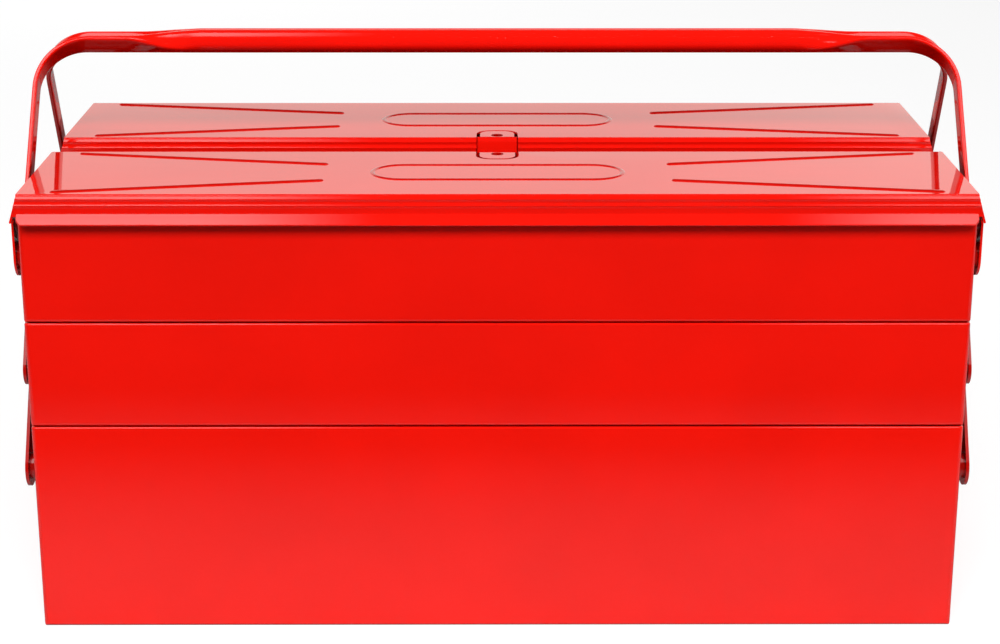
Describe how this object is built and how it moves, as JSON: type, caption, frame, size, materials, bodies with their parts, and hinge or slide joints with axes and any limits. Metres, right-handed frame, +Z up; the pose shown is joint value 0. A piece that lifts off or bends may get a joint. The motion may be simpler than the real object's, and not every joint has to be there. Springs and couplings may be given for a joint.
{
  "type": "cantilever tool box",
  "caption": "Long steel box whose trays swing out on side bars as its halves are drawn apart, with hinged lids, padlock hasps and a folding carry handle.",
  "frame": {"origin": "centre of the base's underside, on the surface that the box stands on", "axes": "+X along the box to its right end, +Y from the front to the rear, +Z up; the rear half mirrors the front half across the XZ plane"},
  "size_m": [0.4474, 0.208, 0.2697],
  "materials": {
    "body_paint": "gloss red powder coat on folded sheet steel",
    "lid_paint": "gloss red powder coat on pressed sheet steel",
    "bar_paint": "gloss red powder coat on pressed steel bars",
    "handle_paint": "gloss red powder coat on formed steel strip",
    "hasp_paint": "gloss red powder coat on bent steel strip",
    "zinc_plated_steel": "bright zinc plating, lightly dulled"
  },
  "bodies": {
    "base": {"base_box": "body_paint", "base_bar_rivets": "zinc_plated_steel", "base_link_rivets": "zinc_plated_steel"},
    "front_bars": {"front_long_bar_left": "bar_paint", "front_long_bar_right": "bar_paint"},
    "front_lower_links": {"front_lower_link_left": "bar_paint", "front_lower_link_right": "bar_paint"},
    "front_mid": {"front_mid_tray": "body_paint", "front_mid_bar_rivets": "zinc_plated_steel", "front_mid_link_rivets": "zinc_plated_steel"},
    "front_upper_links": {"front_upper_link_left": "bar_paint", "front_upper_link_right": "bar_paint"},
    "front_top": {"front_top_tray": "body_paint", "front_top_bar_rivets": "zinc_plated_steel", "front_top_link_rivets": "zinc_plated_steel", "front_hasp": "hasp_paint", "front_hasp_rivets": "zinc_plated_steel", "front_lid_rivets": "zinc_plated_steel", "front_handle_spacers": "zinc_plated_steel", "front_handle_rivets": "zinc_plated_steel"},
    "front_lid": {"front_lid": "lid_paint"},
    "front_handle": {"front_handle": "handle_paint"},
    "rear_bars": {"rear_long_bar_left": "bar_paint", "rear_long_bar_right": "bar_paint"},
    "rear_lower_links": {"rear_lower_link_left": "bar_paint", "rear_lower_link_right": "bar_paint"},
    "rear_mid": {"rear_mid_tray": "body_paint", "rear_mid_bar_rivets": "zinc_plated_steel", "rear_mid_link_rivets": "zinc_plated_steel"},
    "rear_upper_links": {"rear_upper_link_left": "bar_paint", "rear_upper_link_right": "bar_paint"},
    "rear_top": {"rear_top_tray": "body_paint", "rear_top_bar_rivets": "zinc_plated_steel", "rear_top_link_rivets": "zinc_plated_steel", "rear_hasp": "hasp_paint", "rear_hasp_rivets": "zinc_plated_steel", "rear_lid_rivets": "zinc_plated_steel", "rear_handle_spacers": "zinc_plated_steel", "rear_handle_rivets": "zinc_plated_steel"},
    "rear_lid": {"rear_lid": "lid_paint"},
    "rear_handle": {"rear_handle": "handle_paint"}
  },
  "joints": [
    {"name": "front_open", "type": "hinge", "parent": "base", "child": "front_bars", "pos_m": [0, -0.0825, 0.077], "axis": [1, 0, 0], "range_deg": [0, 60]},
    {"name": "front_mid_tray_pivot", "type": "hinge", "parent": "front_bars", "child": "front_mid", "pos_m": [0, -0.0565, 0.12203], "axis": [1, 0, 0], "range_deg": [-60, 0]},
    {"name": "front_top_tray_pivot", "type": "hinge", "parent": "front_bars", "child": "front_top", "pos_m": [0, -0.0305, 0.16706], "axis": [1, 0, 0], "range_deg": [-60, 0]},
    {"name": "front_lower_link_pivot", "type": "hinge", "parent": "base", "child": "front_lower_links", "pos_m": [0, -0.0575, 0.074], "axis": [1, 0, 0], "range_deg": [0, 60]},
    {"name": "front_upper_link_pivot", "type": "hinge", "parent": "front_mid", "child": "front_upper_links", "pos_m": [0, -0.0815, 0.12503], "axis": [1, 0, 0], "range_deg": [0, 60]},
    {"name": "front_lid_hinge", "type": "hinge", "parent": "front_top", "child": "front_lid", "pos_m": [0, -0.082, 0.18], "axis": [1, 0, 0], "range_deg": [0, 95]},
    {"name": "front_handle_hinge", "type": "hinge", "parent": "front_top", "child": "front_handle", "pos_m": [0, -0.053, 0.186], "axis": [1, 0, 0], "range_deg": [0, 60]},
    {"name": "rear_open", "type": "hinge", "parent": "base", "child": "rear_bars", "pos_m": [0, 0.0825, 0.077], "axis": [-1, 0, 0], "range_deg": [0, 60]},
    {"name": "rear_mid_tray_pivot", "type": "hinge", "parent": "rear_bars", "child": "rear_mid", "pos_m": [0, 0.0565, 0.12203], "axis": [-1, 0, 0], "range_deg": [-60, 0]},
    {"name": "rear_top_tray_pivot", "type": "hinge", "parent": "rear_bars", "child": "rear_top", "pos_m": [0, 0.0305, 0.16706], "axis": [-1, 0, 0], "range_deg": [-60, 0]},
    {"name": "rear_lower_link_pivot", "type": "hinge", "parent": "base", "child": "rear_lower_links", "pos_m": [0, 0.0575, 0.074], "axis": [-1, 0, 0], "range_deg": [0, 60]},
    {"name": "rear_upper_link_pivot", "type": "hinge", "parent": "rear_mid", "child": "rear_upper_links", "pos_m": [0, 0.0815, 0.12503], "axis": [-1, 0, 0], "range_deg": [0, 60]},
    {"name": "rear_lid_hinge", "type": "hinge", "parent": "rear_top", "child": "rear_lid", "pos_m": [0, 0.082, 0.18], "axis": [-1, 0, 0], "range_deg": [0, 95]},
    {"name": "rear_handle_hinge", "type": "hinge", "parent": "rear_top", "child": "rear_handle", "pos_m": [0, 0.053, 0.186], "axis": [-1, 0, 0], "range_deg": [0, 60]}
  ],
  "couplings": [
    {"joint": "front_mid_tray_pivot", "follows": "front_open", "ratio": -1},
    {"joint": "front_top_tray_pivot", "follows": "front_open", "ratio": -1},
    {"joint": "front_lower_link_pivot", "follows": "front_open", "ratio": 1},
    {"joint": "front_upper_link_pivot", "follows": "front_open", "ratio": 1},
    {"joint": "rear_mid_tray_pivot", "follows": "rear_open", "ratio": -1},
    {"joint": "rear_top_tray_pivot", "follows": "rear_open", "ratio": -1},
    {"joint": "rear_lower_link_pivot", "follows": "rear_open", "ratio": 1},
    {"joint": "rear_upper_link_pivot", "follows": "rear_open", "ratio": 1}
  ]
}
